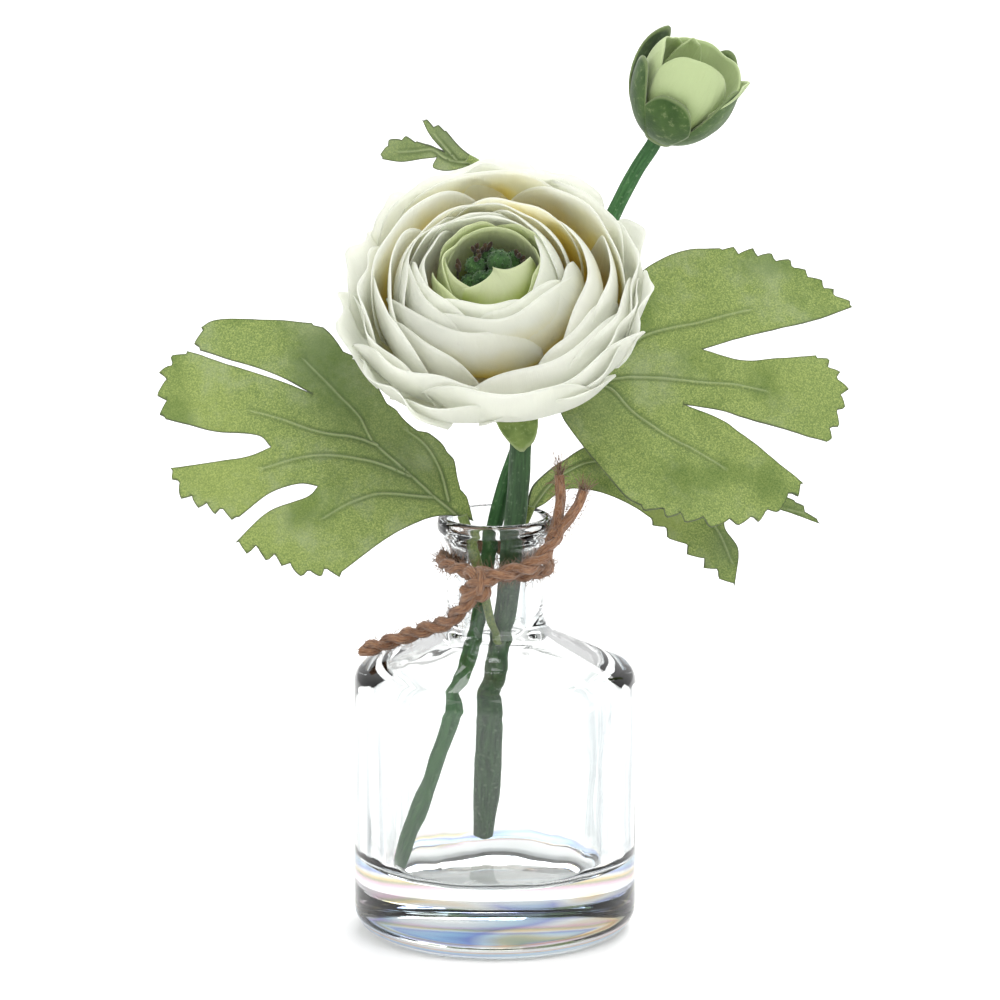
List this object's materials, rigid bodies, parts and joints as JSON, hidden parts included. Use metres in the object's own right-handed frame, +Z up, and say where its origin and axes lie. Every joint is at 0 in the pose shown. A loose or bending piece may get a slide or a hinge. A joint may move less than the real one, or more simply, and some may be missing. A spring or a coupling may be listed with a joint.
{
  "type": "ranunculus flower in bottle vase",
  "caption": "Artificial ranunculus bloom and bud with lobed leaves on two stems, standing in a small clear glass bottle with a jute twine tied round its neck.",
  "frame": {"origin": "centre of the bottle's flat base", "axes": "+Z up, -Y towards the front, where the bloom faces, +X to the right seen from the front"},
  "size_m": [0.1756, 0.0904, 0.2244],
  "materials": {
    "clear_glass": "polished clear glass, thick base",
    "jute": "rough two-ply jute twine with loose fibres",
    "stem_green": "satin moulded plastic over wire",
    "leaf_green": "flocked fabric with pressed veins",
    "petal_white": "fine woven silk, warm cream in the folds",
    "petal_green": "fine woven silk, lime green",
    "carpel_green": "flocked beads",
    "stamen_brown": "matt",
    "sepal_green": "fabric, darker at the base",
    "bud_petal": "fine woven silk, pale green"
  },
  "bodies": {
    "root": {"bottle": "clear_glass", "jute_tie": "jute", "stem_flower": "stem_green", "stem_bud": "stem_green", "leaf_left": "leaf_green", "leaf_right": "leaf_green", "leaf_right_low": "leaf_green", "leaf_small": "leaf_green", "bloom_petals": "petal_white", "bloom_heart": "petal_green", "bloom_carpels": "carpel_green", "bloom_stamens": "stamen_brown", "bloom_calyx": "sepal_green", "bud_petals": "bud_petal", "bud_sepals": "sepal_green"}
  },
  "joints": []
}
